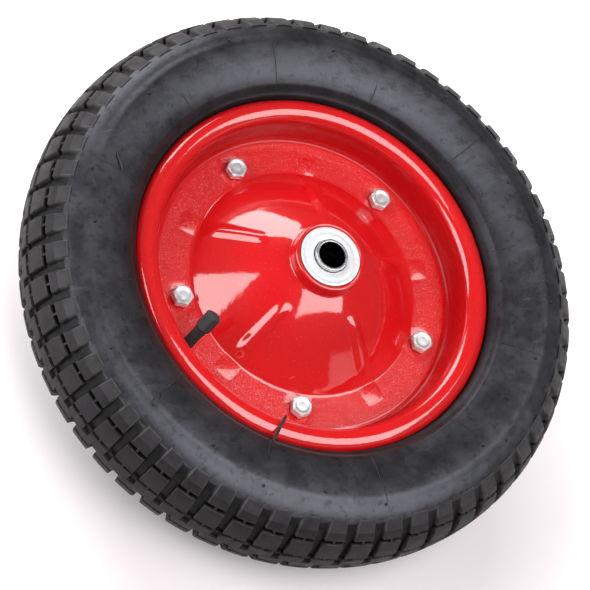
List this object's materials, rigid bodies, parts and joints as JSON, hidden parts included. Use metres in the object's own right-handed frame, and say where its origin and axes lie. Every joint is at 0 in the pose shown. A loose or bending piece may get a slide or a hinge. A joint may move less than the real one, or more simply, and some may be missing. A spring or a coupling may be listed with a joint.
{
  "type": "pneumatic wheel",
  "caption": "Barrow wheel with an air-filled block-tread tyre on a bolted, ribbed, red-painted steel rim that turns on sealed ball bearings.",
  "frame": {"origin": "centre of the wheel, on its axle line, midway between the two ends of the hub", "axes": "+Z along the axle line towards the side with the bolt heads and the valve; +X from the axle line through bolt_1"},
  "size_m": [0.356, 0.356, 0.0944],
  "materials": {
    "tyre_rubber": "matte black rubber",
    "tube_rubber": "matte black rubber",
    "red_paint": "gloss red paint",
    "zinc_plate": "bright zinc plating",
    "bearing_steel": "ground steel",
    "brass": "plain brass",
    "stem_rubber": "satin black rubber",
    "cap_plastic": "dark plastic",
    "cage_plastic": "natural nylon"
  },
  "bodies": {
    "hub_core": {"front_inner_ring": "zinc_plate", "rear_inner_ring": "zinc_plate", "spacer_sleeve": "zinc_plate"},
    "wheel": {"tyre": "tyre_rubber", "inner_tube": "tube_rubber", "rim_half_front": "red_paint", "rim_half_rear": "red_paint", "bolt_1": "zinc_plate", "bolt_2": "zinc_plate", "bolt_3": "zinc_plate", "bolt_4": "zinc_plate", "bolt_5": "zinc_plate", "spring_washer_1": "zinc_plate", "spring_washer_2": "zinc_plate", "spring_washer_3": "zinc_plate", "spring_washer_4": "zinc_plate", "spring_washer_5": "zinc_plate", "nut_1": "zinc_plate", "nut_2": "zinc_plate", "nut_3": "zinc_plate", "nut_4": "zinc_plate", "nut_5": "zinc_plate", "valve_stem": "stem_rubber", "valve_core": "brass", "front_outer_ring": "bearing_steel", "front_shield": "zinc_plate", "rear_outer_ring": "bearing_steel", "rear_shield": "zinc_plate"},
    "front_ball_train": {"front_cage": "cage_plastic", "front_ball_1": "bearing_steel", "front_ball_2": "bearing_steel", "front_ball_3": "bearing_steel", "front_ball_4": "bearing_steel", "front_ball_5": "bearing_steel", "front_ball_6": "bearing_steel", "front_ball_7": "bearing_steel"},
    "rear_ball_train": {"rear_cage": "cage_plastic", "rear_ball_1": "bearing_steel", "rear_ball_2": "bearing_steel", "rear_ball_3": "bearing_steel", "rear_ball_4": "bearing_steel", "rear_ball_5": "bearing_steel", "rear_ball_6": "bearing_steel", "rear_ball_7": "bearing_steel"},
    "cap": {"valve_cap": "cap_plastic"},
    "pin": {"valve_pin": "brass"}
  },
  "joints": [
    {"name": "wheel_spin", "type": "hinge", "parent": "hub_core", "child": "wheel", "pos_m": [0, 0, 0], "axis": [0, 0, 1], "continuous": true},
    {"name": "front_cage_spin", "type": "hinge", "parent": "hub_core", "child": "front_ball_train", "pos_m": [0, 0, 0.0381], "axis": [0, 0, 1], "continuous": true},
    {"name": "rear_cage_spin", "type": "hinge", "parent": "hub_core", "child": "rear_ball_train", "pos_m": [0, 0, -0.0381], "axis": [0, 0, 1], "continuous": true},
    {"name": "cap_off", "type": "slide", "parent": "wheel", "child": "cap", "axis": [-0.5183, -0.3567, 0.7772], "range_m": [0, 0.012]},
    {"name": "pin_press", "type": "slide", "parent": "wheel", "child": "pin", "axis": [0.5183, 0.3567, -0.7772], "range_m": [0, 0.001], "stiffness_N_per_m": 400, "springref_m": -0.0005}
  ],
  "couplings": [
    {"joint": "front_cage_spin", "follows": "wheel_spin", "ratio": 0.6056},
    {"joint": "rear_cage_spin", "follows": "wheel_spin", "ratio": 0.6056}
  ]
}
